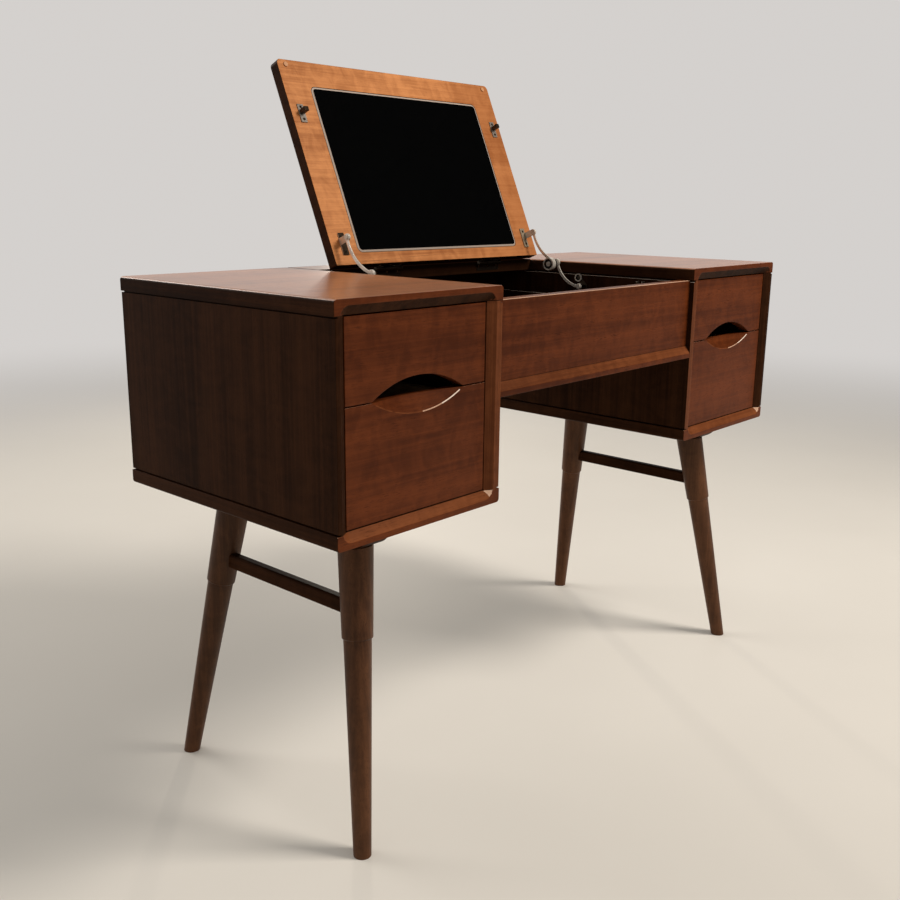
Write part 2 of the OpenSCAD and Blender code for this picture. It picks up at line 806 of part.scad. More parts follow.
// Strikes: a shelf off the well's wall, with two cheeks that take the hook between them
module catch_strikes() {
    y0 = catch_y - hook_toe - strike_play;
    y1 = catch_y + hook_t / 2 + strike_play;
    z = lid_under - catch_t - hook_h - strike_play;
    x0 = catch_x - hook_w / 2;
    color(nickel) for (side = [LEFT, RIGHT]) on_side(side) {
        span([x0, y0 - catch_t, z - catch_t], [bay_x, y1 + catch_t, z]);
        span([bay_x - catch_t, y0 - catch_t, z - strike_plate_h], [bay_x, y1 + catch_t, z]);
        for (y = [y0 - catch_t, y1])
            span([x0, y, z - catch_t], [x0 + hook_w, y + catch_t, z + strike_cheek_h]);
    }
}

// Rubber bumpers under the lid's free corners
module lid_bumpers() {
    color(black) on_lid() for (side = [LEFT, RIGHT]) on_side(side)
        translate([bumper_x, lid_edge_y - lid_len + bumper_far, lid_under - bumper_h])
            cylinder(h = bumper_h, d = bumper_d);
}

// ---------- hinges ----------

knuckle_gap = 0.2;
knuckle_l = hinge_len / 3;

// One knuckle about the hinge axis, with a web to its leaf at dir
module knuckle(x0, x1, dir) {
    pin_x(x0, x1, [hinge_y, hinge_z], 2 * knuckle_r);
    y = [hinge_y, hinge_y + dir * (lid_edge_gap + leaf_t)];
    span([x0, min(y), hinge_z - leaf_t], [x1, max(y), hinge_z]);
}

// One leaf with its knuckles; dir is -1 on the lid and +1 on the case
module leaf(dir) {
    x0 = hinge_x - hinge_len / 2;
    y = [hinge_y + dir * lid_edge_gap, hinge_y + dir * (lid_edge_gap + leaf_t)];
    difference() {
        span([x0, min(y), hinge_z - leaf_h], [x0 + hinge_len, max(y), hinge_z]);
        for (x = [screw_in, hinge_len / 2, hinge_len - screw_in])
            translate([x0 + x, hinge_y, hinge_z - screw_in]) rotate([-90 * dir, 0, 0])
                cylinder(h = lid_edge_gap + leaf_t + eps, d = screw_d);
    }
    if (dir < 0) knuckle(x0 + knuckle_l + knuckle_gap, x0 + 2 * knuckle_l - knuckle_gap, dir);
    else for (x = [x0, x0 + 2 * knuckle_l]) knuckle(x, x + knuckle_l, dir);
}

module hinge_lid_leaves() {
    color(nickel) on_lid() for (side = [LEFT, RIGHT]) on_side(side) difference() {
        leaf(-1);
        pin_x(hinge_x - hinge_len / 2, hinge_x + hinge_len / 2, [hinge_y, hinge_z],
              hinge_pin_d + pin_clear);
    }
}

// Case leaves, with the pins held in their outer knuckles
module hinge_case_leaves() {
    color(nickel) for (side = [LEFT, RIGHT]) on_side(side) {
        leaf(1);
        pin_x(hinge_x - hinge_len / 2, hinge_x + hinge_len / 2, [hinge_y, hinge_z], hinge_pin_d);
    }
}

// ---------- stays ----------

upper_x0 = stay_x - arm_t / 2;
upper_x1 = stay_x + arm_t / 2;
lower_x0 = upper_x1 + stay_clear;
lower_x1 = lower_x0 + arm_t;
pivot_bore = pivot_d + pin_clear;

// Arm from the origin to [l, 0], sagging on its right hand, with an eye at each end
module arm_outline(l, sag, r1, r2) {
    r = (pow(l / 2, 2) + pow(sag, 2)) / (2 * sag);
    half = asin(l / 2 / r);
    translate([l / 2, r - sag]) intersection() {
        difference() {
            circle(r + arm_w / 2, $fn = 256);
            circle(r - arm_w / 2, $fn = 256);
        }
        polygon([[0, 0], 2 * r * [-sin(half), -cos(half)], [0, -3 * r],
                 2 * r * [sin(half), -cos(half)]]);
    }
    circle(r1);
    translate([l, 0]) circle(r2);
}

// Places an arm outline between pivots a and b in the plane of a stay
module arm(a, b, x0, x1, sag, r1, r2) {
    along_x(x0, x1) translate(a) rotate(atan2(b[1] - a[1], b[0] - a[0]))
        scale([1, sag > 0 ? 1 : -1]) arm_outline(norm(b - a), abs(sag), r1, r2);
}

module upper_arm(side) {
    color(nickel) on_side(side) difference() {
        arm(lid_pivot, elbow_pivot, upper_x0, upper_x1, -arm_sag, eye_r, elbow_r);
        pin_x(upper_x0 - eps, upper_x1 + eps, lid_pivot, pivot_bore);
    }
}

// Ribbed damper on the inner face of the right upper arm
module right_stay_damper() {
    arm_dir = (lid_pivot - elbow_pivot) / upper_arm_l;
    at = elbow_pivot + damper_s * arm_dir + damper_drop * [arm_dir[1], -arm_dir[0]];
    x0 = upper_x0 - damper_l;
    pitch = (damper_l - rib_w) / rib_n;
    color(nickel) on_side(RIGHT) difference() {
        union() {
            pin_x(x0, upper_x0, at, 2 * damper_core_r);
            for (i = [0:rib_n - 1]) pin_x(x0 + i * pitch, x0 + i * pitch + rib_w, at, 2 * damper_r);
        }
        difference() {
            pin_x(x0 - eps, x0 + damper_slot, at, 2 * damper_r - 2 * cup_wall);
            pin_x(x0 - 2 * eps, x0 + damper_slot + eps, at, cup_pin_d);
        }
    }
}

// Plain stud on the left upper arm, at its elbow
module left_elbow_stud() {
    color(nickel) on_side(LEFT)
        pin_x(upper_x0 - stud_l, upper_x0, elbow_pivot, stud_d);
}

module lower_arm(side) {
    color(nickel) on_side(side) difference() {
        arm(foot_pivot, elbow_pivot, lower_x0, lower_x1, arm_sag, eye_r, elbow_r);
        pin_x(lower_x0 - eps, lower_x1 + eps, foot_pivot, pivot_bore);
    }
}

// Lid brackets: a plate screwed to the lid, an ear and the upper pivot pin
module stay_lid_brackets() {
    x1 = upper_x0 - stay_clear;
    x0 = x1 - lid_plate_w;
    y = lid_edge_y - stay_lid_s;
    y1 = lid_edge_y - lid_plate_s;
    y0 = y1 - lid_plate_l;
    z = lid_under - stay_lid_h;
    head_x = upper_x1 + stay_clear;
    color(nickel) on_lid() for (side = [LEFT, RIGHT]) on_side(side) {
        difference() {
            span([x0, y0, lid_under - bracket_t], [x1, y1, lid_under]);
            for (hole_y = [y0 + screw_in, y1 - screw_in])
                translate([x0 + screw_in, hole_y, lid_under - bracket_t - eps])
                    cylinder(h = bracket_t + 2 * eps, d = screw_d);
        }
        along_x(x1 - bracket_t, x1) {
            translate([y, z]) circle(eye_r);
            translate([y - eye_r, z]) square([2 * eye_r, stay_lid_h]);
        }
        pin_x(x1 - bracket_t, head_x + head_t, [y, z], pivot_d);
        pin_x(head_x, head_x + head_t, [y, z], head_d);
    }
}

// Case brackets: a wall plate with a screwed ring, a spacer and the foot pivot pin
module stay_case_brackets() {
    x0 = lower_x1 + stay_clear;
    head_x = lower_x0 - stay_clear;
    ring = foot_pivot + [ring_back, ring_up];
    color(nickel) for (side = [LEFT, RIGHT]) on_side(side) difference() {
        union() {
            pin_x(bay_x - ring_l, bay_x, ring, ring_d);
            along_x(bay_x - bracket_t, bay_x) {
                translate(foot_pivot) circle(eye_r);
                translate(foot_pivot) rotate(atan2(ring_up, ring_back))
                    translate([0, -tab_w / 2]) square([norm([ring_back, ring_up]), tab_w]);
            }
            pin_x(x0, bay_x, foot_pivot, spacer_d);
            pin_x(head_x - head_t, x0 + eps, foot_pivot, pivot_d);
            pin_x(head_x - head_t, head_x, foot_pivot, head_d);
        }
        pin_x(bay_x - ring_l - eps, bay_x - ring_l + ring_hole_l, ring, ring_hole_d);
    }
}

top_board(LEFT);  // left_top_board
bottom_board(LEFT);  // left_bottom_board
outer_side(LEFT);  // left_outer_side
inner_side(LEFT);  // left_inner_side
pedestal_back(LEFT);  // left_back_panel
top_board(RIGHT);  // right_top_board
bottom_board(RIGHT);  // right_bottom_board
outer_side(RIGHT);  // right_outer_side
inner_side(RIGHT);  // right_inner_side
pedestal_back(RIGHT);  // right_back_panel
drawer_runners(LEFT);  // left_drawer_runners
drawer_runners(RIGHT);  // right_drawer_runners
well_front_panel();
well_bottom_board();
well_back_panel();
well_side_ledges();
rear_top_strip();
leg_rail(LEFT);  // left_leg_rail
leg_rail(RIGHT);  // right_leg_rail
leg(LEFT, FRONT);  // front_left_leg
leg(RIGHT, FRONT);  // front_right_leg
leg(LEFT, REAR);  // rear_left_leg
leg(RIGHT, REAR);  // rear_right_leg
stretcher(LEFT);  // left_stretcher
stretcher(RIGHT);  // right_stretcher
leg_bolts();
lid_board();
mirror_glass();
lid_catches();
lid_bumpers();
catch_strikes();
hinge_lid_leaves();
hinge_case_leaves();
stay_lid_brackets();
stay_case_brackets();
upper_arm(LEFT);  // left_upper_arm
upper_arm(RIGHT);  // right_upper_arm
left_elbow_stud();
right_stay_damper();
lower_arm(LEFT);  // left_lower_arm
lower_arm(RIGHT);  // right_lower_arm
drawer_front(LEFT, UPPER);  // upper_left_drawer_front
drawer_sides(LEFT, UPPER);  // upper_left_drawer_sides
drawer_back(LEFT, UPPER);  // upper_left_drawer_back
drawer_bottom(LEFT, UPPER);  // upper_left_drawer_bottom
drawer_front(LEFT, LOWER);  // lower_left_drawer_front
drawer_sides(LEFT, LOWER);  // lower_left_drawer_sides
drawer_back(LEFT, LOWER);  // lower_left_drawer_back
drawer_bottom(LEFT, LOWER);  // lower_left_drawer_bottom
drawer_front(RIGHT, UPPER);  // upper_right_drawer_front
drawer_sides(RIGHT, UPPER);  // upper_right_drawer_sides
drawer_back(RIGHT, UPPER);  // upper_right_drawer_back
drawer_bottom(RIGHT, UPPER);  // upper_right_drawer_bottom
drawer_front(RIGHT, LOWER);  // lower_right_drawer_front
drawer_sides(RIGHT, LOWER);  // lower_right_drawer_sides
drawer_back(RIGHT, LOWER);  // lower_right_drawer_back
drawer_bottom(RIGHT, LOWER);  // lower_right_drawer_bottom
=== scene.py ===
import json
import math

import bpy
from bpy.props import FloatProperty, FloatVectorProperty, PointerProperty
from mathutils import Matrix, Vector


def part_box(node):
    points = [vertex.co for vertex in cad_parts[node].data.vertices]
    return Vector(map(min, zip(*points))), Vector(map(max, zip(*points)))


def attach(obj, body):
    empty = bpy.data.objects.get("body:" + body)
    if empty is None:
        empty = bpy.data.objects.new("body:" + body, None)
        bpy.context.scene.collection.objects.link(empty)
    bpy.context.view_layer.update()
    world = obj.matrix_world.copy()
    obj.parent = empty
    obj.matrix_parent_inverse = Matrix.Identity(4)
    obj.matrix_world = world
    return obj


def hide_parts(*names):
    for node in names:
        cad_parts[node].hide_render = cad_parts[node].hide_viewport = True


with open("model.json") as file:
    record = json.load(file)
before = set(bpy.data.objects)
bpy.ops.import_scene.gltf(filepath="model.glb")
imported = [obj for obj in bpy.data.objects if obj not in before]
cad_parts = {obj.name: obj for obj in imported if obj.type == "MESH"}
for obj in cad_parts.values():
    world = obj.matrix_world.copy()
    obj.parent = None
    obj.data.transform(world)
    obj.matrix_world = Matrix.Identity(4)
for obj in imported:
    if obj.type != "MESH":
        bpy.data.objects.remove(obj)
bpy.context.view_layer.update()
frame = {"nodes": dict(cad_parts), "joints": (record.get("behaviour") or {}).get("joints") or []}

bl_info = {
    "name": "Flip top vanity table",
    "version": (1, 0, 0),
    "blender": (4, 5, 0),
    "location": "3D View > Sidebar > Vanity table",
    "description": "Dresses the modelled vanity table in wood, glass and nickel",
    "category": "Object",
}

MM = 0.001
LEFT, RIGHT = -1, 1

# ---------- where things are, read from the frame ----------

joints = {j["name"]: j for j in frame["joints"]}
hinge_axis = Vector(joints["lid_hinge"]["pos_m"])
lid_open = math.radians(joints["lid_hinge"]["range_deg"][1])
OPENING = (Matrix.Translation(hinge_axis) @ Matrix.Rotation(-lid_open, 4, "X")
           @ Matrix.Translation(-hinge_axis))
CLOSING = OPENING.inverted()
# The way that the mirror faces
lid_out = (OPENING.to_3x3() @ Vector((0, 0, -1))).normalized()

# ---------- where one finish gives way to another ----------

# Middle height and radius of the circle that bounds a scoop on the drawers' front plane
SCOOP_Z, SCOOP_R = 761.2 * MM, 162.0 * MM
# Width of that scoop along the top of a lower front
SCOOP_W = 163 * MM
# Width of the scoop's rounded rim, and how far right of its middle its painted highlight turns
# lighter, twice
SCOOP_RIM, RIM_FROM, LIP_FROM = 0.8 * MM, 4 * MM, 40 * MM

# Depth of the rear strip's front part, which gets painted shade: dark, unpolished wood
SHADE_DEPTH = 25 * MM

# Outer radius of the rings of the case brackets, and how far from the wall their plates,
# the dark floors of the rings and the spacers reach
RING_R, WALL_PLATE, RING_FLOOR, SPACER = 7.25 * MM, 0.8 * MM, 1.6 * MM, 17 * MM
# Depth of the damper's hollow end
DAMPER_HOLLOW = 2.6 * MM
# Thickness of the plates that are screwed under the lid
LID_PLATE = 1.6 * MM

# Parts of a unit normal that tell a board's faces apart: z of a face that lies flat and of
# one that belongs to a rounded upper edge, and y of one that belongs to the front
FLAT, SLOPED, FRONT = 0.97, 0.2, -0.4

SIDES = ("left", "right")
DRAWERS = [f"{level}_{side}" for level in ("upper", "lower") for side in SIDES]


def closed_box(node):
    """Corners of the box around a lid node when the lid is shut."""
    points = [CLOSING @ v.co for v in frame["nodes"][node].data.vertices]
    low = Vector(min(p[i] for p in points) for i in range(3))
    high = Vector(max(p[i] for p in points) for i in range(3))
    return low, high


# ---------- shader building ----------


class Value:
    """A socket in a material. Arithmetic on it adds Math nodes."""

    def __init__(self, finish, socket):
        self.finish, self.socket = finish, socket

    def math(self, operation, *others):
        node = self.finish.node("ShaderNodeMath", {"operation": operation},
                                dict(enumerate([self, *others])))
        return Value(self.finish, node.outputs[0])

    def __add__(self, other):
        return self.math("ADD", other)

    __radd__ = __add__

    def __mul__(self, other):
        return self.math("MULTIPLY", other)

    __rmul__ = __mul__

    def __sub__(self, other):
        return self.math("SUBTRACT", other)

    def __rsub__(self, other):
        return (self * -1).math("ADD", other)

    def step(self, low, high):
        """0 below low, 1 above high, smooth between them."""
        node = self.finish.node(
            "ShaderNodeMapRange", {"interpolation_type": "SMOOTHSTEP"},
            {"Value": self, "From Min": low, "From Max": high})
        return Value(self.finish, node.outputs[0])


class Finish:
    """A material and the nodes in it."""

    def __init__(self, name, tree=None):
        self.material = None
        if tree is None:
            self.material = bpy.data.materials.new(name)
            self.material.use_nodes = True
            tree = self.material.node_tree
        self.tree = tree
        self.tree.nodes.clear()

    def node(self, kind, settings=None, inputs=None):
        """Adds a node, sets it up and fills or links its sockets."""
        made = self.tree.nodes.new(kind)
        for key, value in (settings or {}).items():
            setattr(made, key, value)
        for key, value in (inputs or {}).items():
            socket = made.inputs[key]
            if isinstance(value, Value):
                value = value.socket
            if isinstance(value, bpy.types.NodeSocket):
                self.tree.links.new(value, socket)
            else:
                socket.default_value = value
        return made

    def value(self, kind, settings=None, inputs=None, output=0):
        return Value(self, self.node(kind, settings, inputs).outputs[output])

    def where(self):
        """Object coordinates."""
        return self.node("ShaderNodeTexCoord").outputs["Object"]

    def place(self, scale=(1, 1, 1), shift=(0, 0, 0)):
        """Object coordinates, scaled and shifted."""
        return self.node("ShaderNodeMapping", {"vector_type": "POINT"},
                         {"Vector": self.where(), "Location": shift,
                          "Scale": scale}).outputs[0]

    def noise(self, where, scale, detail=2.0, roughness=0.5, distortion=0.0):
        return self.value("ShaderNodeTexNoise", {"normalize": True},
                          {"Vector": where, "Scale": scale, "Detail": detail,
                           "Roughness": roughness, "Distortion": distortion})

    def mix(self, factor, a, b):
        """Colour a where factor is 0 and b where it is 1."""
        return self.node("ShaderNodeMix", {"data_type": "RGBA"},
                         {0: factor, 6: colour(a), 7: colour(b)}).outputs[2]

    def bump(self, height, strength, distance):
        return self.node("ShaderNodeBump", {},
                         {"Height": height, "Strength": strength,
                          "Distance": distance}).outputs[0]

    def surface(self, inputs):
        shader = self.node("ShaderNodeBsdfPrincipled", {}, inputs)
        self.node("ShaderNodeOutputMaterial", {}, {"Surface": shader.outputs[0]})
        return self.material


def colour(value):
    """Gives a written colour its alpha; a link stays as it is."""
    if isinstance(value, (Value, bpy.types.NodeSocket)):
        return value
    return (*tuple(value)[:3], 1)


def wood(name, grain, dark, light, rough=0.42, shine=0.18, coat=0.0, coat_rough=0.09,
         pores=1.0, figure=1.0, darker=None):
    """Lacquered veneer or solid wood, its grain along one axis, darker from one x to another."""
    f = Finish(name)
    shift = (0.31, 0.17, 0.73)

    def along(across, length):
        return f.place([length if axis == grain else across for axis in "XYZ"], shift)

    # Broad tone, bands, growth streaks, cross figure, fibres and pores
    tone = f.noise(along(3.2, 1.1), 1.0, 2.0, 0.5, 0.3)
    band = f.noise(along(26, 0.9), 1.0, 3.0, 0.5, 0.2)
    streak = f.noise(along(150, 3.5), 1.0, 4.0, 0.62, 0.3)
    ripple = f.noise(along(24, 40), 1.0, 3.0, 0.55, 0.9)
    fibre = f.noise(along(950, 14), 1.0, 2.0, 0.6)
    pore = f.noise(along(1500, 95), 1.0, 1.0, 0.5)
    pore = pore.step(0.60, 0.70) * streak.step(0.38, 0.62)
    body = (streak.step(0.28, 0.72) * 0.30 + band.step(0.28, 0.72) * 0.30
            + tone.step(0.30, 0.70) * 0.26 + ripple.step(0.32, 0.68) * (0.14 * figure))
    body = body + (fibre - 0.5) * 0.35
    base = f.mix(body.step(0.05, 0.95), dark, light)
    if darker:
        x = f.value("ShaderNodeSeparateXYZ", {}, {0: f.where()}, output="X")
        base = f.mix(x.step(*darker) * 0.55, base, dark)
    base = f.mix(pore * (0.60 * pores), base, [c * 0.35 for c in dark])
    return f.surface({
        "Base Color": base,
        "Roughness": rough + (fibre - 0.5) * 0.12 + pore * 0.12,
        "Specular IOR Level": shine, "Specular Tint": (1.0, 0.86, 0.72, 1),
        "Coat Weight": coat, "Coat Roughness": coat_rough, "Coat IOR": 1.5,
        "Normal": f.bump(fibre * 0.35 - pore * 0.7, 0.15, 0.00015),
    })


def nickel(name, tint, rough, metal):
    """Plated steel with faint rolling lines and dull spots."""
    f = Finish(name)
    cloud = f.noise(f.place(), 60.0, 3.0, 0.6)
    line = f.noise(f.place((1, 0.06, 1)), 1500.0, 1.0)
    dull = cloud.step(0.42, 0.70)
    base = f.mix(dull * 0.55, tint, [c * 0.62 for c in tint])
    return f.surface({
        "Base Color": base, "Metallic": metal,
        "Roughness": rough + dull * 0.14 + (line - 0.5) * 0.08,
        "Normal": f.bump(line, 0.08, 0.0001),
    })


def near_black(name):
    """Near-black steel in the hollows of the stays, and painted shade on the left edge of the
    glass.
    """
    f = Finish(name)
    cloud = f.noise(f.place(), 240.0, 3.0, 0.6)
    return f.surface({
        "Base Color": f.mix(cloud, (0.012, 0.012, 0.012), (0.035, 0.033, 0.030)),
        "Metallic": 0.6, "Roughness": 0.38 + cloud * 0.15,
        "Normal": f.bump(cloud, 0.10, 0.0001),
    })


def silvered(name):
    """Mirror silver behind clear glass, with the faintest haze."""
    f = Finish(name)
    haze = f.noise(f.place(), 3.0, 3.0, 0.6).step(0.45, 0.75)
    return f.surface({
        "Base Color": f.mix(haze, (0.80, 0.82, 0.83), (0.72, 0.75, 0.77)),
        "Metallic": 1.0, "Roughness": 0.015 + haze * 0.02,
    })


def ground_glass(name):
    """Ground and polished edge of the glass."""
    f = Finish(name)
    wheel = f.noise(f.place(), 900.0, 1.0)
    return f.surface({
        "Base Color": f.mix(wheel, (0.34, 0.27, 0.22), (0.46, 0.38, 0.32)),
        "Roughness": 0.50 + wheel * 0.12,
    })


def clear_rubber(name):
    """Soft bumper, as warm as the wood behind it."""
    f = Finish(name)
    cloud = f.noise(f.place(), 400.0, 2.0)
    return f.surface({
        "Base Color": f.mix(cloud, (0.42, 0.19, 0.08), (0.56, 0.29, 0.14)),
        "Roughness": 0.35 + cloud * 0.1, "Normal": f.bump(cloud, 0.06, 0.0001),
    })


# ---------- mesh helpers ----------


def select_only(*objs):
    bpy.ops.object.select_all(action="DESELECT")
    for obj in objs:
        obj.select_set(True)
    bpy.context.view_layer.objects.active = objs[0]


def edit(obj, *steps):
    """Runs each step in edit mode with the whole mesh selected at the start."""
    select_only(obj)
    bpy.ops.object.mode_set(mode="EDIT")
    bpy.ops.mesh.select_all(action="SELECT")
    for step in steps:
        step()
    bpy.ops.object.mode_set(mode="OBJECT")


def apply_modifier(obj, kind, **settings):
    modifier = obj.modifiers.new(kind.title(), kind)
    for key, value in settings.items():
        setattr(modifier, key, value)
    select_only(obj)
    bpy.ops.object.modifier_apply(modifier=modifier.name)


def smooth(obj, angle=30):
    """Shades smooth below an angle, large flat faces keeping their own normals."""
    select_only(obj)
    bpy.ops.object.shade_smooth_by_angle(angle=math.radians(angle))
    apply_modifier(obj, "WEIGHTED_NORMAL", keep_sharp=True)


def soften(obj, radius, segments=2, angle=28):
    """Rounds a mesh's hard edges and shades the rest smooth."""
    apply_modifier(obj, "BEVEL", width=radius, segments=segments, limit_method="ANGLE",
                   angle_limit=math.radians(angle), use_clamp_overlap=True,
                   miter_outer="MITER_ARC")
    smooth(obj)


def round_edges(obj, chosen, radius, segments=3):
    """Rounds the edges whose two ends chosen() picks."""
    edit(obj, lambda: bpy.ops.mesh.select_mode(type="EDGE"),
         lambda: bpy.ops.mesh.select_all(action="DESELECT"))
    points = obj.data.vertices
    for edge in obj.data.edges:
        edge.select = all(chosen(points[i].co) for i in edge.vertices)
    bpy.ops.object.mode_set(mode="EDIT")
    bpy.ops.mesh.bevel(offset=radius, segments=segments, affect="EDGES")
    bpy.ops.object.mode_set(mode="OBJECT")


def copy_of(node, name):
    """A merged copy of a node's mesh, its flat faces in one piece."""
    obj = bpy.data.objects.new(name, frame["nodes"][node].data.copy())
    bpy.context.scene.collection.objects.link(obj)
    obj.data.materials.clear()
    edit(obj, lambda: bpy.ops.mesh.remove_doubles(threshold=0.002 * MM),
         lambda: bpy.ops.mesh.dissolve_limited(angle_limit=math.radians(0.2)))
    return obj


def paint(obj, *materials, choose=None):
    """Gives a mesh its materials; choose picks one for each face by middle and normal."""
    obj.data.materials.clear()
    for material in materials:
        obj.data.materials.append(material)
    for face in obj.data.polygons:
        face.material_index = choose(face.center, face.normal) if choose else 0


def move_mesh(obj, matrix):
    obj.data.transform(matrix)
    if matrix.determinant() < 0:
        obj.data.flip_normals()
    obj.data.update()


def twin(obj, name, matrix):
    """A copy with its own mesh, moved by matrix."""
    other = bpy.data.objects.new(name, obj.data.copy())
    bpy.context.scene.collection.objects.link(other)
    move_mesh(other, matrix)
    return other


# From the right half of the table to the left one
MIRRORED = Matrix.Scale(-1, 4, Vector((1, 0, 0)))


def join(name, objs):
    select_only(*objs)
    bpy.ops.object.join()
    objs[0].name = objs[0].data.name = name
    return objs[0]


def block(name, low, high, radius, segments=3):
    """A bar between two corners with rounded edges."""
    low, high = Vector(low), Vector(high)
    bpy.ops.object.select_all(action="DESELECT")
    bpy.ops.mesh.primitive_cube_add(size=1, location=(0, 0, 0))
    obj = bpy.context.object
    obj.name = obj.data.name = name
    move_mesh(obj, Matrix.Translation((low + high) / 2) @ Matrix.Diagonal((*(high - low), 1)))
    soften(obj, radius, segments)
    return obj


def put(obj, body, slot, *nodes):
    """Rides a finished piece on its body and hides the nodes that it stands for; slot is not
    used.
    """
    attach(obj, body)
    if nodes:
        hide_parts(*nodes)
    return obj


def dress(node, body, slot, materials, radius, choose=None, segments=2, angle=28, first=None):
    """A softened, painted copy of a node stands for it; first() changes the copy before."""
    obj = copy_of(node, node + "_piece")
    if first:
        first(obj)
    soften(obj, radius, segments, angle)
    paint(obj, *materials, choose=choose)
    return put(obj, body, slot, node)


# ---------- sizes and colours a user would change ----------


def wood_tone(name, about, default):
    return FloatVectorProperty(name=name, description=about, subtype="COLOR", size=3, min=0,
                               max=1, default=default)


class VanityWood(bpy.types.PropertyGroup):
    case_dark: wood_tone("Case, dark", "Dark tone of the case's sides",
                         (0.014, 0.0047, 0.0018))
    case_light: wood_tone("Case, light", "Light tone of the case's sides",
                          (0.050, 0.0180, 0.0070))
    top_dark: wood_tone("Tops, dark", "Dark tone of the tops", (0.200, 0.066, 0.021))
    top_light: wood_tone("Tops, light", "Light tone of the tops", (0.415, 0.150, 0.052))
    front_dark: wood_tone("Fronts, dark", "Dark tone of the drawer fronts",
                          (0.050, 0.0105, 0.0025))
    front_light: wood_tone("Fronts, light", "Light tone of the drawer fronts",
                           (0.128, 0.0300, 0.0075))
    bevel_dark: wood_tone("Bevels, dark", "Dark tone of the lower frames' bevels",
                          (0.085, 0.0235, 0.0078))
    bevel_light: wood_tone("Bevels, light", "Light tone of the lower frames' bevels",
                           (0.215, 0.0660, 0.0225))
    leg_dark: wood_tone("Legs, dark", "Dark tone of the legs", (0.042, 0.0165, 0.0078))
    leg_light: wood_tone("Legs, light", "Light tone of the legs", (0.130, 0.0520, 0.0225))
    lid_dark: wood_tone("Lid underside, dark", "Dark tone under the lid",
                        (0.270, 0.086, 0.024))
    lid_light: wood_tone("Lid underside, light", "Light tone under the lid",
                         (0.610, 0.252, 0.090))
    inside_dark: wood_tone("Drawer boxes, dark", "Dark tone of the drawer boxes",
                           (0.36, 0.235, 0.125))
    inside_light: wood_tone("Drawer boxes, light", "Light tone of the drawer boxes",
                            (0.55, 0.40, 0.245))
    polish: FloatProperty(
        name="Polish", description="Weight of the gloss coat on the tops", subtype="FACTOR",
        min=0, max=1, default=0.7)


class VanityEdges(bpy.types.PropertyGroup):
    board: FloatProperty(
        name="Board edges", description="Radius of the boards' worn edges", unit="LENGTH",
        min=0.0002, max=0.003, precision=4, default=0.9 * MM)
    leg: FloatProperty(
        name="Leg edges", description="Radius of the legs' shoulders and feet", unit="LENGTH",
        min=0.0005, max=0.004, precision=4, default=1.6 * MM)
    metal: FloatProperty(
        name="Metal edges", description="Radius of the fittings' edges", unit="LENGTH",
        min=0.0001, max=0.0008, precision=4, default=0.3 * MM)


class VanityStage(bpy.types.PropertyGroup):
    backdrop: FloatVectorProperty(
        name="Backdrop", description="Colour behind the table", subtype="COLOR", size=3,
        min=0, max=1, default=(0.66, 0.635, 0.615))
    key: FloatProperty(
        name="Key light", description="Power of the main light", unit="POWER", min=0,
        default=88.0)
    ambient: FloatProperty(
        name="Ambient", description="Light from all round", min=0, max=1, default=0.34)


def user(group):
    return getattr(bpy.context.scene, group)


# ---------- finishes ----------

finishes = {}


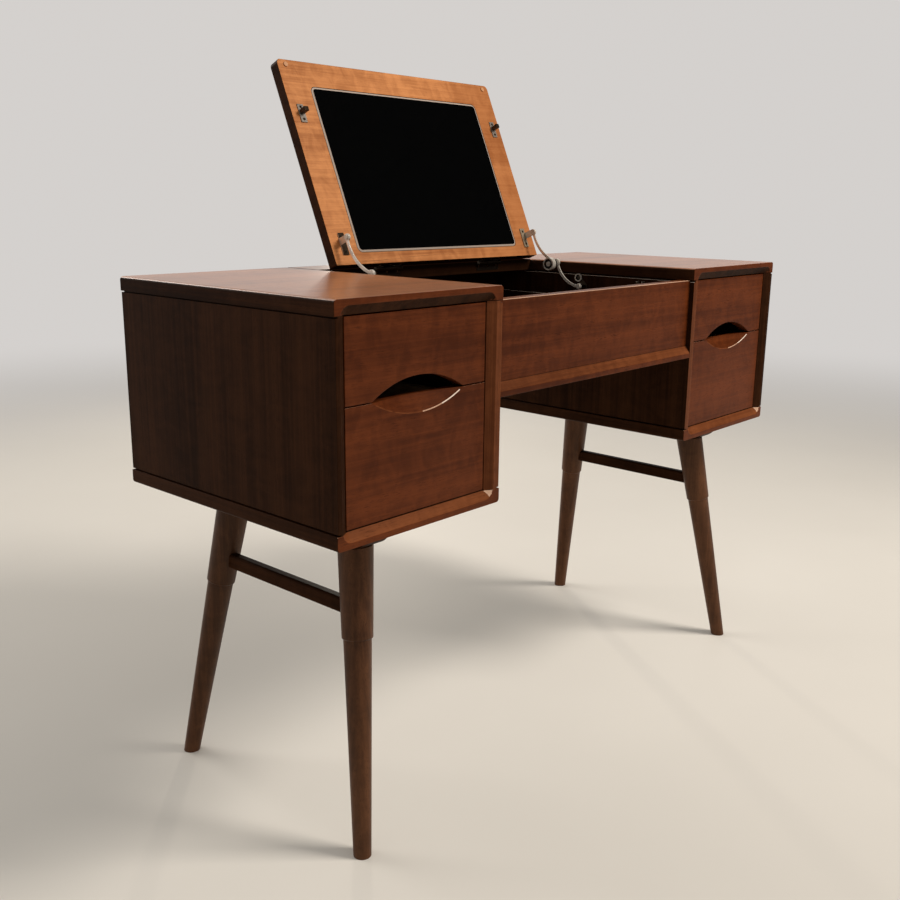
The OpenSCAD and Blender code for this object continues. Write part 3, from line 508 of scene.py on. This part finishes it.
def make_finishes():
    w = user("vanity_wood")

    def both(name):
        return getattr(w, name + "_dark"), getattr(w, name + "_light")

    for grain in "XYZ":
        finishes["walnut", grain] = wood(f"walnut_{grain}", grain, *both("case"), shine=0.03)
    finishes["front", "X"] = wood("front_X", "X", *both("front"), shine=0.10, figure=1.5)
    for grain in "XZ":
        finishes["bevel", grain] = wood(f"bevel_{grain}", grain, *both("bevel"), rough=0.36,
                                        shine=0.07)
    for grain in "XY":
        finishes["inside", grain] = wood(f"drawer_ply_{grain}", grain, *both("inside"),
                                         rough=0.58, pores=0.4)
    finishes["top", "X"] = wood("top_walnut", "X", *both("top"), rough=0.42, shine=0.4,
                                coat=w.polish, coat_rough=0.24, pores=0.5)
    finishes["leg", "Z"] = wood("leg_walnut", "Z", *both("leg"), shine=0.2)
    # The rails and stretchers take the case's darker tones, not the legs': painted shade
    finishes["leg", "Y"] = wood("rail_walnut", "Y", *both("case"), shine=0.02)
    finishes["lid", "X"] = wood("lid_walnut", "X", *both("lid"), rough=0.40, shine=0.15,
                                pores=0.5, figure=1.6, darker=(0.02, 0.26))
    # Painted highlights: pale wood on thin rounded edges where the lights catch them, the lip
    # the brightest
    finishes["rim"] = wood("rubbed_rim", "X", (0.42, 0.23, 0.14), (0.72, 0.48, 0.34),
                           rough=0.3, shine=0.4, pores=0.2)
    finishes["lip"] = wood("rubbed_lip", "Y", (0.72, 0.56, 0.45), (0.92, 0.78, 0.66),
                           rough=0.3, shine=0.5, pores=0.2)
    # Painted shade: dark matte walnut for the rear strip's front part, where the open lid's
    # shadow falls
    finishes["matte"] = wood("unpolished_walnut", "X", (0.008, 0.0032, 0.0015),
                             (0.022, 0.0085, 0.0038), rough=0.8, shine=0.0)
    # Plated metals, from the bright arms of the stays to dark plates, some of them with painted
    # shade
    for key, name, tint, rough, metal in (
            ("nickel", "worn_nickel", (0.62, 0.57, 0.49), 0.30, 1.0),
            ("arm", "arm_nickel", (0.92, 0.85, 0.75), 0.24, 0.5),
            ("ear", "ear_nickel", (0.74, 0.66, 0.55), 0.36, 0.3),
            # Dark plate: the catch hooks' own colour, and painted shade on the left lid plate
            ("shaded", "shaded_plate", (0.075, 0.05, 0.033), 0.5, 1.0),
            ("bracket", "bracket_plate", (0.36, 0.29, 0.20), 0.45, 0.4),
            ("catch", "catch_plate", (0.30, 0.26, 0.22), 0.42, 0.5),
            ("dull", "dull_plate", (0.11, 0.085, 0.065), 0.45, 1.0),
            ("zinc", "zinc_plate", (0.56, 0.57, 0.58), 0.38, 1.0)):
        finishes[key] = nickel(name, tint, rough, metal)
    finishes["clear"] = clear_rubber("bumper_clear")
    finishes["black"] = near_black("blackened_steel")
    finishes["silver"] = silvered("mirror_silver")
    finishes["ground"] = ground_glass("ground_edge")


# ---------- screws ----------


def screw_head(name, radius, height):
    """A round-headed cross-slot screw standing on the XY plane."""
    bpy.ops.object.select_all(action="DESELECT")
    bpy.ops.mesh.primitive_uv_sphere_add(segments=28, ring_count=14, radius=radius,
                                         location=(0, 0, 0))
    head = bpy.context.object
    # The sphere's cap above the cut, brought to the head's height, gets a slot each way
    cut = radius * 0.25
    edit(head, lambda: bpy.ops.mesh.bisect(
        plane_co=(0, 0, cut), plane_no=(0, 0, 1), clear_inner=True, use_fill=True))
    move_mesh(head, Matrix.Diagonal((1, 1, height / (radius - cut), 1))
              @ Matrix.Translation((0, 0, -cut)))
    reach, half, bottom = radius * 0.62, radius * 0.11, height * 0.45
    for turn in (0, 90):
        slot = block("slot", (-reach, -half, bottom), (reach, half, height * 2),
                     radius * 0.05, 1)
        move_mesh(slot, Matrix.Rotation(math.radians(turn), 4, "Z"))
        apply_modifier(head, "BOOLEAN", operation="DIFFERENCE", object=slot, solver="EXACT")
        bpy.data.objects.remove(slot)
    smooth(head, 35)
    head.name = head.data.name = name
    return head


def screws(name, places, body, radius=2.6 * MM, height=1.1 * MM, finish="nickel"):
    """One piece of several screws, each at a point and facing out along a direction."""
    first = screw_head(name, radius, height)
    copies = []
    for i, (point, out) in enumerate(places):
        turn = Vector(out).to_track_quat("Z", "Y").to_matrix().to_4x4()
        spin = Matrix.Rotation(math.radians(37 * i + 11), 4, "Z")
        copies.append(twin(first, name, Matrix.Translation(point) @ turn @ spin))
    bpy.data.objects.remove(first)
    piece = join(name, copies)
    paint(piece, finishes[finish])
    return put(piece, body, "nickel")


# ---------- operators ----------


class VANITY_OT_case(bpy.types.Operator):
    """Rounds and veneers the boards of both pedestals and of the well"""

    bl_idname = "vanity.case"
    bl_label = "Case boards"

    def execute(self, context):
        radius = user("vanity_edges").board
        walnut = {grain: finishes["walnut", grain] for grain in "XYZ"}
        front, bevel = finishes["front", "X"], finishes["bevel", "X"]

        def top_faces(centre, normal):
            """Red front edge and polished top."""
            if normal.z > 0.7:
                return 2
            return 1 if normal.y < FRONT and normal.z > -0.3 else 0

        shade_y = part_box("rear_top_strip")[0].y + SHADE_DEPTH

        def mark_shade(obj):
            """Parts the strip's top where its front part gets painted shade, dark and
            unpolished.
            """
            edit(obj, lambda: bpy.ops.mesh.bisect(plane_co=(0, shade_y, 0),
                                                  plane_no=(0, 1, 0)))

        def strip_faces(centre, normal):
            """Polished top with painted shade on its front part."""
            if centre.y < shade_y and normal.z > -0.5:
                return 2
            return 1 if normal.z > FLAT else 0

        def bottom_faces(centre, normal):
            """Red front edge with a lighter bevel, and a painted highlight on the corner at its
            left end.
            """
            if normal.z > SLOPED and normal.y < -0.25 and normal.x < -0.3:
                return 3
            if normal.y < FRONT:
                return 2 if normal.z > SLOPED else 1
            return 0

        wall_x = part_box("right_inner_side")[0].x
        groove_z = max(v.co.z for v in frame["nodes"]["right_inner_side"].data.vertices
                       if abs(v.co.x - wall_x) < 0.1 * MM)

        def inner_faces(centre, normal):
            """Bright front lip, and a painted highlight on the lip of the groove in the well's
            wall.
            """
            if normal.y < FRONT:
                return 1
            lip = abs(centre.z - groove_z) < radius and abs(abs(centre.x) - wall_x) < radius
            return 2 if lip and normal.z > SLOPED else 0

        def ledge_faces(centre, normal):
            """Painted highlights on the upper edges."""
            return 1 if SLOPED < normal.z < FLAT else 0

        def panel_faces(centre, normal):
            """Top in the lighter bevel wood and painted highlights on its rounded edges, both
            for the light from above.
            """
            return 0 if normal.z < SLOPED else 1 if normal.z > FLAT else 2

        for side in SIDES:
            dress(f"{side}_top_board", "carcass", "dark_walnut",
                  (walnut["Y"], front, finishes["top", "X"]), radius, top_faces)
            dress(f"{side}_bottom_board", "carcass", "dark_walnut",
                  (walnut["Y"], front, bevel, finishes["rim"]), radius, bottom_faces)
            for panel, faces in (("outer_side", None), ("inner_side", inner_faces)):
                dress(f"{side}_{panel}", "carcass", "dark_walnut",
                      (walnut["Z"], finishes["bevel", "Z"], finishes["lip"]), radius * 0.7,
                      faces)
            dress(f"{side}_back_panel", "carcass", "dark_walnut", (walnut["Z"],),
                  radius * 0.5)
            dress(f"{side}_drawer_runners", "carcass", "runner_wood",
                  (finishes["inside", "Y"],), radius * 0.5)
        # The well's board has no painted highlight on its corner, so its fourth finish is the
        # bevel's again
        dress("well_bottom_board", "carcass", "dark_walnut",
              (walnut["X"], front, bevel, bevel), radius * 0.7, bottom_faces)
        dress("well_back_panel", "carcass", "dark_walnut", (walnut["X"],), radius * 0.7)
        dress("rear_top_strip", "carcass", "dark_walnut",
              (walnut["X"], finishes["top", "X"], finishes["matte"]), radius * 0.7,
              strip_faces, first=mark_shade)
        dress("well_side_ledges", "carcass", "dark_walnut", (walnut["Y"], finishes["lip"]),
              radius * 0.7, ledge_faces)
        dress("well_front_panel", "carcass", "red_walnut", (front, bevel, finishes["rim"]),
              radius, panel_faces)
        return {"FINISHED"}


class VANITY_OT_drawers(bpy.types.Operator):
    """Rounds and veneers the four drawers"""

    bl_idname = "vanity.drawers"
    bl_label = "Drawers"

    def execute(self, context):
        radius = user("vanity_edges").board
        for name in DRAWERS:
            body = name + "_drawer"
            low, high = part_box(f"{body}_front")
            middle = (low.x + high.x) / 2

            def from_rim(point):
                """How far outside the scoop's circle a point lies."""
                return math.hypot(point.x - middle, point.z - SCOOP_Z) - SCOOP_R

            def on_rim(point):
                return abs(point.y - low.y) < 0.2 * MM and abs(from_rim(point)) < 0.3 * MM

            def painted_highlights(centre, normal):
                """Painted highlights on the rim of the scoop, lighter towards its right, and on
                the top edge.
                """
                if centre.y > low.y + 2 * radius:
                    return 0
                aside = centre.x - middle
                if abs(from_rim(centre)) < 1.6 * SCOOP_RIM and -0.995 < normal.y < -0.87:
                    if centre.z > high.z - 2 * MM:
                        return 0
                    return 3 if aside > LIP_FROM else 2 if aside > RIM_FROM else 1
                top = SLOPED < normal.z < FLAT and abs(aside) > SCOOP_W / 2
                return 2 if top and centre.z > high.z - 2 * radius else 0

            dress(f"{body}_front", body, "red_walnut",
                  (finishes["front", "X"], finishes["bevel", "X"], finishes["rim"],
                   finishes["lip"]), radius,
                  painted_highlights if name.startswith("lower") else None, angle=24,
                  first=lambda obj: round_edges(obj, on_rim, SCOOP_RIM))
            dress(f"{body}_sides", body, "birch", (finishes["inside", "Y"],), radius * 0.7)
            for part in ("back", "bottom"):
                dress(f"{body}_{part}", body, "birch", (finishes["inside", "X"],),
                      radius * 0.5)
        return {"FINISHED"}


class VANITY_OT_base(bpy.types.Operator):
    """Finishes the legs, their rails and the stretchers"""

    bl_idname = "vanity.base"
    bl_label = "Legs and rails"

    def execute(self, context):
        edges = user("vanity_edges")
        for side in SIDES:
            for end in ("front", "rear"):
                dress(f"{end}_{side}_leg", "carcass", "leg_walnut",
                      (finishes["leg", "Z"],), edges.leg, segments=3, angle=24)
            for part in ("stretcher", "leg_rail"):
                dress(f"{side}_{part}", "carcass", "leg_walnut",
                      (finishes["leg", "Y"],), edges.board)
        dress("leg_bolts", "carcass", "zinc_steel", (finishes["zinc"],), edges.metal)
        return {"FINISHED"}


class VANITY_OT_lid(bpy.types.Operator):
    """Veneers the lid: dark outside, warm underneath"""

    bl_idname = "vanity.lid"
    bl_label = "Lid"

    def execute(self, context):
        def lid_faces(centre, normal):
            """Warm underside, polished upper side, dark edges."""
            way = normal.dot(lid_out)
            return 1 if way > 0.8 else 2 if way < -0.8 else 0

        dress("lid_board", "lid", "lid_walnut",
              (finishes["walnut", "X"], finishes["lid", "X"], finishes["top", "X"]),
              user("vanity_edges").board, lid_faces)
        dress("lid_bumpers", "lid", "rubber", (finishes["clear"],), 0.4 * MM)
        return {"FINISHED"}


class VANITY_OT_mirror(bpy.types.Operator):
    """Silvers the glass and grinds its edge"""

    bl_idname = "vanity.mirror"
    bl_label = "Mirror"

    def execute(self, context):
        def edge(centre, normal):
            """Silver in front; the edge is ground, with painted shade on it at the left."""
            return 0 if normal.dot(lid_out) > 0.999 else 2 if normal.x < -0.5 else 1

        glass = copy_of("mirror_glass", "mirror_glass_piece")
        edit(glass, lambda: bpy.ops.mesh.dissolve_limited(angle_limit=math.radians(1)))
        smooth(glass, 12)
        paint(glass, finishes["silver"], finishes["ground"], finishes["black"], choose=edge)
        put(glass, "lid", "mirror", "mirror_glass")
        return {"FINISHED"}


class VANITY_OT_stays(bpy.types.Operator):
    """Finishes the folding stays and their brackets, with their screws"""

    bl_idname = "vanity.stays"
    bl_label = "Stays"

    def execute(self, context):
        radius = user("vanity_edges").metal
        metal = (finishes["arm"],)
        for side in SIDES:
            dress(f"{side}_upper_arm", f"{side}_stay_upper", "nickel", metal, radius)
            dress(f"{side}_lower_arm", f"{side}_stay_lower", "nickel", metal, radius)
        dress("left_elbow_stud", "left_stay_upper", "nickel", metal, radius)
        shades = (finishes["arm"], finishes["black"], finishes["dull"])
        low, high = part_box("right_stay_damper")
        middle = (low + high) / 2
        grooves = (high.y - low.y) / 2 - 0.5 * MM

        def damper_faces(centre, normal):
            """Bright ribs and rim, dark hollow and grooves."""
            out = Vector((0, centre.y - middle.y, centre.z - middle.z))
            inward = (out.dot(normal) < -0.5 * out.length
                      or normal.x < -0.9 and centre.x > low.x + MM)
            if inward and centre.x < low.x + DAMPER_HOLLOW:
                return 1
            return 1 if abs(normal.x) < 0.5 and grooves - MM < out.length < grooves else 0

        dress("right_stay_damper", "right_stay_upper", "nickel", shades, radius * 0.5,
              damper_faces)
        low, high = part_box("stay_case_brackets")
        ring = Vector((0, high.y - RING_R, high.z - RING_R))

        def wall_faces(centre, normal):
            """Bright rings and pin heads; dark hollows, spacers and wall plates."""
            out = Vector((0, centre.y - ring.y, centre.z - ring.z))
            deep = high.x - abs(centre.x)
            if out.length < RING_R + 0.2 * MM and deep > WALL_PLATE:
                hollow = deep < RING_FLOOR or out.dot(normal) < -0.5 * out.length
                return 1 if hollow else 0
            return 2 if deep < SPACER else 0

        dress("stay_case_brackets", "carcass", "nickel", shades, radius * 0.5, wall_faces)

        plate_z = closed_box("stay_lid_brackets")[1].z - LID_PLATE - 0.2 * MM

        def ear_faces(centre, normal):
            """Bright ears and pins on dull plates, the left one with painted shade."""
            return 0 if (CLOSING @ centre).z < plate_z else 1 if centre.x > 0 else 2

        dress("stay_lid_brackets", "lid", "nickel",
              (finishes["ear"], finishes["bracket"], finishes["shaded"]), radius, ear_faces)
        self.bracket_screws(ring, high.x)
        return {"FINISHED"}

    def bracket_screws(self, ring, wall_x):
        """One screw in each ring, and two in each plate under the lid."""
        case = [((sign * (wall_x - MM), ring.y, ring.z), (-sign, 0, 0))
                for sign in (LEFT, RIGHT)]
        screws("case_bracket_screws", case, "carcass", 3.4 * MM, 1.3 * MM, "dull")
        low, high = closed_box("stay_lid_brackets")
        plate_x, inset = high.x - 9.8 * MM, 6 * MM
        lid = [(OPENING @ Vector((sign * plate_x, y, high.z - LID_PLATE)), lid_out)
               for sign in (LEFT, RIGHT) for y in (low.y + inset, high.y - inset)]
        screws("lid_bracket_screws", lid, "lid", finish="dull")


class VANITY_OT_hinges(bpy.types.Operator):
    """Finishes the butt hinges and their screws"""

    bl_idname = "vanity.hinges"
    bl_label = "Hinges"

    def execute(self, context):
        radius = user("vanity_edges").metal * 0.7
        # The dull dark plate on the leaves is painted shade
        metal = (finishes["dull"],)
        dress("hinge_lid_leaves", "lid", "nickel", metal, radius)
        dress("hinge_case_leaves", "carcass", "nickel", metal, radius)
        # Three screws across each leaf, below the pin and on the leaf's bare face
        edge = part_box("hinge_case_leaves")[1].x
        across = [edge - inset * MM for inset in (54, 30, 6)]
        out, below = 3.9 * MM, 6 * MM
        for name, body, way in (("hinge_case_screws", "carcass", 1),
                                ("hinge_lid_screws", "lid", -1)):
            turn = OPENING if body == "lid" else Matrix()
            y, z = hinge_axis.y + way * out, hinge_axis.z - below
            places = [(turn @ Vector((sign * x, y, z)), turn.to_3x3() @ Vector((0, -way, 0)))
                      for sign in (LEFT, RIGHT) for x in across]
            screws(name, places, body, 1.9 * MM, 0.7 * MM)
        return {"FINISHED"}


class VANITY_OT_catches(bpy.types.Operator):
    """Models the catches under the lid and finishes their strikes"""

    bl_idname = "vanity.catches"
    bl_label = "Catches"

    def execute(self, context):
        low, high = closed_box("lid_catches")
        # Half widths along x of the plate and of the hook, and the radius of their edges
        plate_half, hook_half, rounding = 6 * MM, 4.5 * MM, 0.5 * MM
        mid_x, mid_y = high.x - plate_half, (low.y + high.y) / 2
        under = high.z - LID_PLATE
        plate = block("plate", (mid_x - plate_half, low.y, under),
                      (mid_x + plate_half, high.y, high.z), rounding)
        # The stem is thin along y, to clear the cheeks of its strike
        stem = block("stem", (mid_x - hook_half, mid_y - 5 * MM, low.z + rounding),
                     (mid_x + hook_half, mid_y + 1.2 * MM, under + 0.2 * MM), rounding)
        toe = block("toe", (mid_x - hook_half, mid_y - 6 * MM, low.z),
                    (mid_x + hook_half, mid_y + MM, low.z + 2 * MM), rounding)
        hook = join("hook", [stem, toe])
        for made, name, finish, nodes in ((plate, "catch_plates", "catch", ["lid_catches"]),
                                          (hook, "catch_hooks", "shaded", [])):
            piece = join(name, [made, twin(made, "other", MIRRORED)])
            move_mesh(piece, OPENING)
            paint(piece, finishes[finish])
            put(piece, "lid", "nickel", *nodes)
        dress("catch_strikes", "carcass", "nickel", (finishes["nickel"],),
              user("vanity_edges").metal)
        inset = 5 * MM
        places = [(OPENING @ Vector((sign * mid_x, y, under)), lid_out)
                  for sign in (LEFT, RIGHT) for y in (low.y + inset, high.y - inset)]
        screws("catch_screws", places, "lid", finish="dull")
        return {"FINISHED"}


class VANITY_OT_stage(bpy.types.Operator):
    """Sets the floor, the lights and the camera"""

    bl_idname = "vanity.stage"
    bl_label = "Stage"

    def execute(self, context):
        stage = user("vanity_stage")
        self.backdrop(stage)
        self.floor(stage)
        self.lights(stage)
        self.dark_room()
        self.camera()
        context.scene.view_settings.view_transform = "Standard"
        return {"FINISHED"}

    def backdrop(self, stage):
        """A plain wall for the camera and in reflections, and soft light from all round."""
        world = bpy.data.worlds.new("studio")
        world.use_nodes = True
        bpy.context.scene.world = world
        f = Finish("studio", world.node_tree)
        path = f.node("ShaderNodeLightPath").outputs
        seen = (Value(f, path["Is Camera Ray"]) + Value(f, path["Is Glossy Ray"])
                + Value(f, path["Is Transmission Ray"])).math("MINIMUM", 1.0)
        strength = seen * (1 - stage.ambient) + stage.ambient
        light = f.mix(seen, (1.0, 0.97, 0.93), stage.backdrop)
        ground = f.node("ShaderNodeBackground", {}, {"Color": light, "Strength": strength})
        f.node("ShaderNodeOutputWorld", {}, {"Surface": ground.outputs[0]})

    def floor(self, stage):
        """A pale floor that fades into the backdrop between 1.6 and 5 m away."""
        bpy.ops.object.select_all(action="DESELECT")
        bpy.ops.mesh.primitive_circle_add(vertices=96, radius=14, fill_type="NGON")
        floor = bpy.context.object
        floor.name = "floor"
        f = Finish("floor")
        reach = f.value("ShaderNodeVectorMath", {"operation": "LENGTH"}, {0: f.where()},
                        output="Value")
        cloud = f.noise(f.place(), 1.7, 4.0, 0.55)
        base = f.mix(cloud, (0.69, 0.660, 0.605), (0.75, 0.720, 0.665))
        near = f.node("ShaderNodeBsdfPrincipled", {}, {"Base Color": base, "Roughness": 0.6})
        far = f.node("ShaderNodeEmission", {}, {"Color": (*stage.backdrop, 1)})
        blend = f.node("ShaderNodeMixShader", {},
                       {0: reach.step(1.6, 5.0), 1: near.outputs[0], 2: far.outputs[0]})
        f.node("ShaderNodeOutputMaterial", {}, {"Surface": blend.outputs[0]})
        paint(floor, f.material)

    def area(self, name, place, aim, size, power, tint):
        """A rectangular lamp that points at aim."""
        light = bpy.data.lights.new(name, "AREA")
        light.shape, light.size, light.size_y = "RECTANGLE", *size
        light.energy, light.color = power, tint
        lamp = bpy.data.objects.new(name, light)
        bpy.context.scene.collection.objects.link(lamp)
        way = (Vector(aim) - Vector(place)).to_track_quat("-Z", "Y")
        lamp.matrix_world = Matrix.Translation(place) @ way.to_matrix().to_4x4()
        return lamp

    def lights(self, stage):
        # Only a quarter of the key shows in reflections, or it would burn out the tops
        for name, share in (("key", 0.75), ("glint", 0.25)):
            key = self.area(name, (1.15, -1.75, 2.75), (0, 0, 0.65), (0.9, 0.9),
                            stage.key * share, (1.0, 0.93, 0.85))
            key.visible_glossy = name == "glint"
        self.area("back", (-0.9, 2.3, 2.2), (0, 0, 0.7), (1.6, 1.2), stage.key * 0.30,
                  (1.0, 0.95, 0.89))
        # A narrow far lamp whose reflection is the streak on the left top
        self.area("streak", (1.86, 2.3, 1.02), (-0.38, -0.07, 0.75), (0.06, 0.30), 11.0,
                  (1.0, 0.90, 0.76))

    def dark_room(self):
        """Unlit front half of the room, which only reflections see."""
        bpy.ops.object.select_all(action="DESELECT")
        bpy.ops.mesh.primitive_uv_sphere_add(segments=64, ring_count=32, radius=7,
                                             location=(0, 0, 0))
        room = bpy.context.object
        room.name = "dark_room"
        edit(room, lambda: bpy.ops.mesh.bisect(
            plane_co=(0, 0.2, 0), plane_no=(-0.25, 1, 0), clear_outer=True))
        f = Finish("dark_room")
        f.surface({"Base Color": (0.004, 0.004, 0.004, 1), "Roughness": 1.0,
                   "Specular IOR Level": 0.0})
        paint(room, f.material)
        for ray in ("camera", "diffuse", "transmission", "volume_scatter", "shadow"):
            setattr(room, f"visible_{ray}", False)

    def camera(self):
        """The photo's own view: its lens, angles and place as solved from the case."""
        place, turned = (-1.3181, -1.1051, 0.8614), (48.029, 13.877, 0.642)
        data = bpy.data.cameras.new("camera")
        data.sensor_width, data.lens = 36.0, 40.80
        camera = bpy.data.objects.new("camera", data)
        bpy.context.scene.collection.objects.link(camera)
        yaw, pitch, roll = (math.radians(angle) for angle in turned)
        ahead = Vector((math.sin(yaw) * math.cos(pitch), math.cos(yaw) * math.cos(pitch),
                        -math.sin(pitch)))
        right = Vector((math.cos(yaw), -math.sin(yaw), 0))
        up = right.cross(ahead)
        turned_right = right * math.cos(roll) + up * math.sin(roll)
        turned_up = up * math.cos(roll) - right * math.sin(roll)
        turn = Matrix((turned_right, turned_up, -ahead)).transposed().to_4x4()
        camera.matrix_world = Matrix.Translation(place) @ turn
        bpy.context.scene.camera = camera


PIECES = (VANITY_OT_case, VANITY_OT_drawers, VANITY_OT_base, VANITY_OT_lid, VANITY_OT_mirror,
          VANITY_OT_stays, VANITY_OT_hinges, VANITY_OT_catches)


class VANITY_PT_panel(bpy.types.Panel):
    """Lists the table's pieces and their sizes and colours"""

    bl_idname = "VANITY_PT_panel"
    bl_label = "Vanity table"
    bl_space_type = "VIEW_3D"
    bl_region_type = "UI"
    bl_category = "Vanity table"

    def draw(self, context):
        for operator in (*PIECES, VANITY_OT_stage):
            self.layout.operator(operator.bl_idname)
        for group in GROUPS:
            box = self.layout.box()
            for name in GROUPS[group].__annotations__:
                box.prop(getattr(context.scene, group), name)


GROUPS = {"vanity_wood": VanityWood, "vanity_edges": VanityEdges, "vanity_stage": VanityStage}
CLASSES = (*GROUPS.values(), *PIECES, VANITY_OT_stage, VANITY_PT_panel)


def register():
    for cls in CLASSES:
        bpy.utils.register_class(cls)
    for name, cls in GROUPS.items():
        setattr(bpy.types.Scene, name, PointerProperty(type=cls))


def unregister():
    for name in GROUPS:
        delattr(bpy.types.Scene, name)
    for cls in reversed(CLASSES):
        bpy.utils.unregister_class(cls)


def main():
    register()
    make_finishes()
    for operator in (*PIECES, VANITY_OT_stage):
        group, name = operator.bl_idname.split(".")
        getattr(getattr(bpy.ops, group), name)()


if __name__ == "__main__":
    main()
